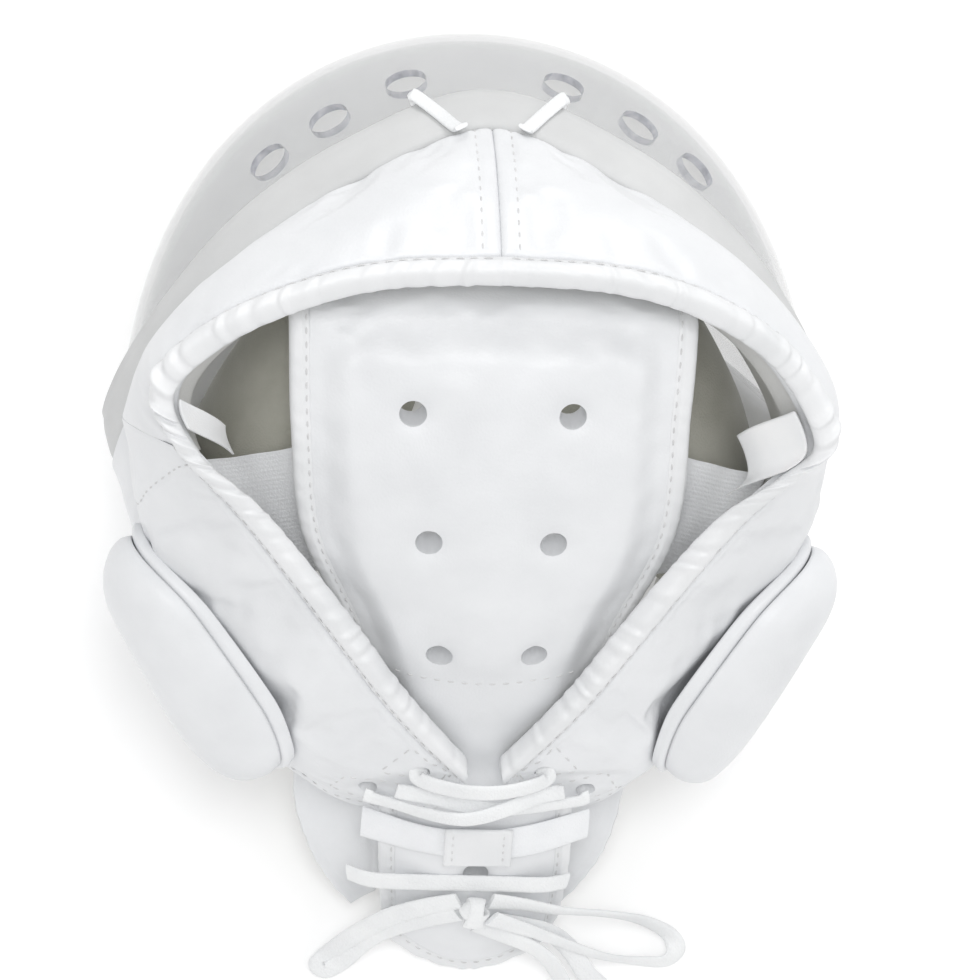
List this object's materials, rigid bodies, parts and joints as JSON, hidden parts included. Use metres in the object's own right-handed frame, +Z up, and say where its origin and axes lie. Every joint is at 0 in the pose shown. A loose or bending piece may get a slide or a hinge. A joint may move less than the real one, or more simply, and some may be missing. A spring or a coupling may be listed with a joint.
{
  "type": "sparring headgear with face shield",
  "caption": "Padded white leather sparring headgear with a clear domed face shield, flat ear guards, crown pad and laced nape, standing on its lower rim",
  "frame": {"origin": "under the middle of the headgear's box without its loose lace, on the surface it stands on", "axes": "+Z up off the surface; the wearer faces -Y; +X is the wearer's left"},
  "size_m": [0.2252, 0.2953, 0.208],
  "materials": {
    "shield": "clear, light grey tint",
    "frame": "matte moulded foam rubber",
    "leather": "white satin synthetic leather",
    "webbing": "white elastic webbing and flat lace"
  },
  "bodies": {
    "root": {"face_shield": "shield", "face_frame": "frame", "chin_pad": "leather", "crown_pad": "leather", "crown_pad_binding": "leather", "keeper_patch": "leather", "nape_strap": "webbing", "lace_bar": "webbing", "forehead_pad_left": "leather", "forehead_pad_right": "leather", "side_pad_left": "leather", "side_pad_right": "leather", "crown_binding_left": "leather", "crown_binding_right": "leather", "ear_guard_base_left": "leather", "ear_guard_base_right": "leather", "ear_guard_dome_left": "leather", "ear_guard_dome_right": "leather", "elastic_band_left": "webbing", "elastic_band_right": "webbing", "nape_wing_left": "leather", "nape_wing_right": "leather", "forehead_tie_left": "webbing", "forehead_tie_right": "webbing", "lace_cross_left": "webbing", "lace_cross_right": "webbing", "label_left": "webbing", "label_right": "webbing", "lace_run": "webbing", "bow_loop_left": "webbing", "bow_loop_right": "webbing", "bow_tail_long": "webbing", "bow_tail_short": "webbing", "bow_knot": "webbing"}
  },
  "joints": []
}
